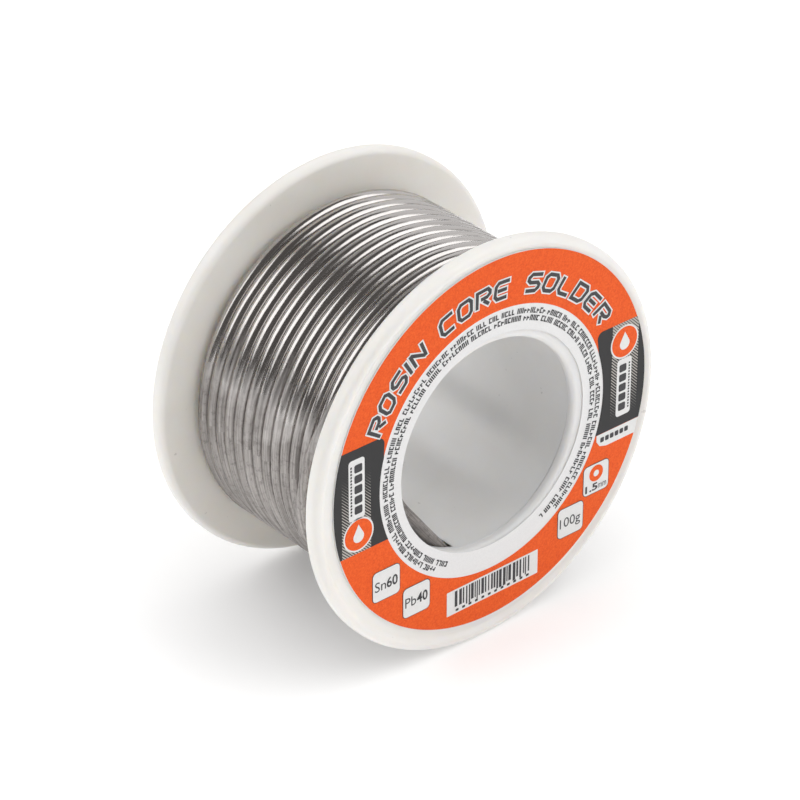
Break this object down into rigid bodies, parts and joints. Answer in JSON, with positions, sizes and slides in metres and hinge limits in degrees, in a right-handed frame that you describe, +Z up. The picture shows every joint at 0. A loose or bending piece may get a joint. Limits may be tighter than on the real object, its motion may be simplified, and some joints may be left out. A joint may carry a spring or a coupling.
{
  "type": "solder wire spool",
  "caption": "Small plastic spool full of rosin-core solder wire, lying on its rims, with a ring-shaped paper label on one flange.",
  "frame": {"origin": "middle of the bore, on its axis and half way between the two flanges' outer faces", "axes": "+Y along the bore axis, from the labelled flange to the plain one; +Z up with the spool lying on both rims; +X to the right when the label is looked at"},
  "size_m": [0.0478, 0.0278, 0.0478],
  "materials": {
    "white_plastic": "satin moulded plastic, slightly milky",
    "label_paper": "printed coated paper",
    "solder_alloy": "drawn tin-lead wire, bright where new and dull where scuffed",
    "rosin_flux": "amber rosin"
  },
  "bodies": {
    "root": {"front_flange": "white_plastic", "hub_tube": "white_plastic", "rear_flange": "white_plastic", "front_label": "label_paper", "winding_layer_1": "solder_alloy", "winding_layer_2": "solder_alloy", "winding_layer_3": "solder_alloy", "winding_layer_4": "solder_alloy", "wire_start_tail": "solder_alloy", "wire_start_tail_flux_core": "rosin_flux", "wire_free_end": "solder_alloy", "wire_free_end_flux_core": "rosin_flux"}
  },
  "joints": []
}
